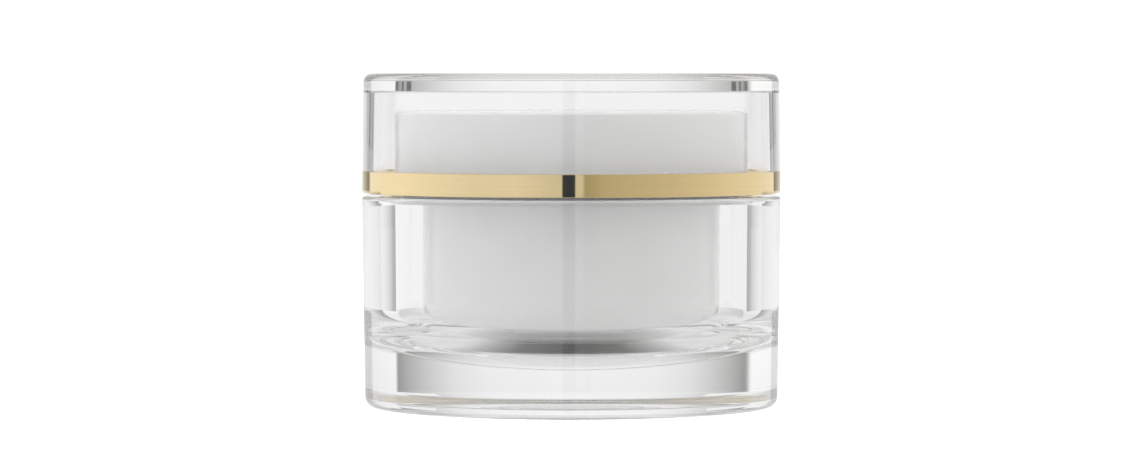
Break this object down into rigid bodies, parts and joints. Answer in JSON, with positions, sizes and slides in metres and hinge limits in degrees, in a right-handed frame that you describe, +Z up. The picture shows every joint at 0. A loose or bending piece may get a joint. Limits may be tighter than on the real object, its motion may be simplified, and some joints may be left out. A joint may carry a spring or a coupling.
{
  "type": "cosmetic cream jar",
  "caption": "Round double-wall cosmetic cream jar: thick clear outer jar, hanging white cup, clear screw lid with white inner cap and gold band.",
  "frame": {"origin": "middle of the foot, on the surface that the jar stands on", "axes": "+Z up along the jar's axis of revolution; X and Y lie in the foot's plane"},
  "size_m": [0.0604, 0.0604, 0.048],
  "materials": {
    "clear_acrylic": "polished, water clear",
    "white_plastic": "glossy",
    "gold_metal": "bright gold, mirror polished",
    "liner_foam": "fine closed-cell foam",
    "disc_plastic": "satin natural polyethylene"
  },
  "bodies": {
    "jar": {"outer_jar": "clear_acrylic", "inner_cup": "white_plastic"},
    "liner": {"lid_liner": "liner_foam"},
    "lid": {"lid_shell": "clear_acrylic", "inner_cap": "white_plastic", "gold_band": "gold_metal"},
    "disc": {"sealing_disc": "disc_plastic"}
  },
  "joints": [
    {"name": "lid_rise", "type": "slide", "parent": "jar", "child": "liner", "axis": [0, 0, 1], "range_m": [0, 0.015]},
    {"name": "lid_turn", "type": "hinge", "parent": "liner", "child": "lid", "pos_m": [0, 0, 0.035], "axis": [0, 0, 1], "range_deg": [0, 450]},
    {"name": "disc_lift", "type": "slide", "parent": "jar", "child": "disc", "axis": [0, 0, 1], "range_m": [0, 0.005]}
  ],
  "couplings": [
    {"joint": "lid_rise", "follows": "lid_turn", "m_per_rad": 0.0019099},
    {"joint": "disc_lift", "follows": "lid_turn", "m_per_rad": 0.00063662}
  ]
}
